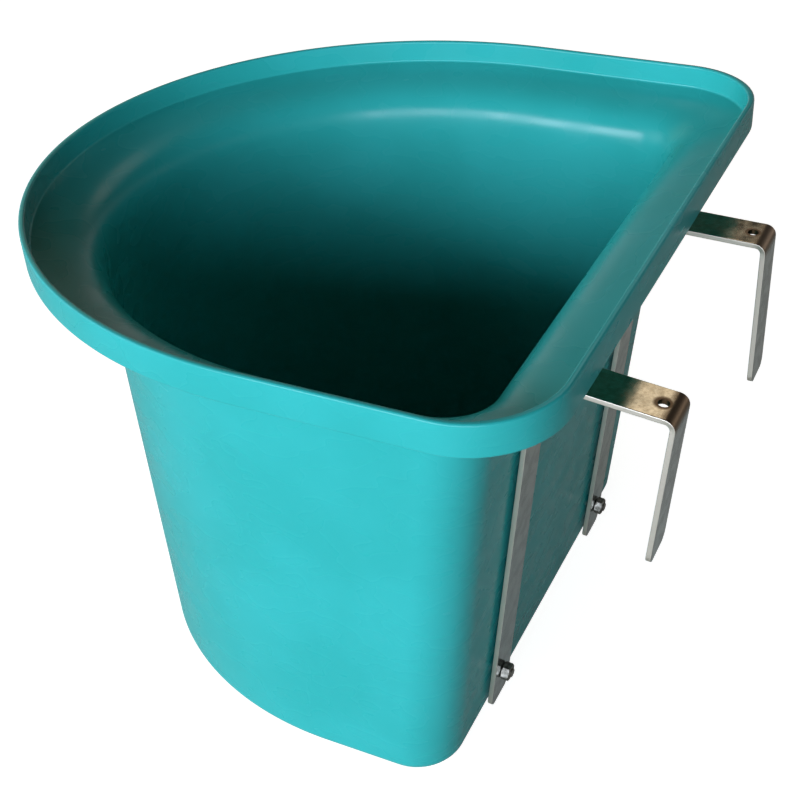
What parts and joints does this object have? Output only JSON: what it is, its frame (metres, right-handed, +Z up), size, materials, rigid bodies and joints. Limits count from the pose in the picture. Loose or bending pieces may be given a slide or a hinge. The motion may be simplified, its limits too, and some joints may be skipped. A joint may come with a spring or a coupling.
{
  "type": "fence horse feeder",
  "caption": "D-shaped moulded feed tub with a flared, upstanding rim and bent flat-bar hooks bolted to its flat back, for hanging over a fence rail.",
  "frame": {"origin": "middle of the footprint, on the surface that the tub's floor stands on", "axes": "+Z up, +Y towards the fence (the flat back and the hooks), +X to the right seen from the round front"},
  "size_m": [0.4, 0.4014, 0.2946],
  "materials": {
    "tub_polyethylene": "satin moulded polyethylene, teal",
    "zinc_flat_bar": "bright zinc plate, slightly mottled",
    "zinc_fasteners": "bright zinc plate"
  },
  "bodies": {
    "root": {"tub": "tub_polyethylene", "left_hook_bracket": "zinc_flat_bar", "right_hook_bracket": "zinc_flat_bar", "left_upper_bolt": "zinc_fasteners", "left_upper_nut": "zinc_fasteners", "left_upper_inner_washer": "zinc_fasteners", "left_upper_spacer_washer": "zinc_fasteners", "left_lower_bolt": "zinc_fasteners", "left_lower_nut": "zinc_fasteners", "left_lower_inner_washer": "zinc_fasteners", "left_lower_spacer_washer": "zinc_fasteners", "right_upper_bolt": "zinc_fasteners", "right_upper_nut": "zinc_fasteners", "right_upper_inner_washer": "zinc_fasteners", "right_upper_spacer_washer": "zinc_fasteners", "right_lower_bolt": "zinc_fasteners", "right_lower_nut": "zinc_fasteners", "right_lower_inner_washer": "zinc_fasteners", "right_lower_spacer_washer": "zinc_fasteners"}
  },
  "joints": []
}
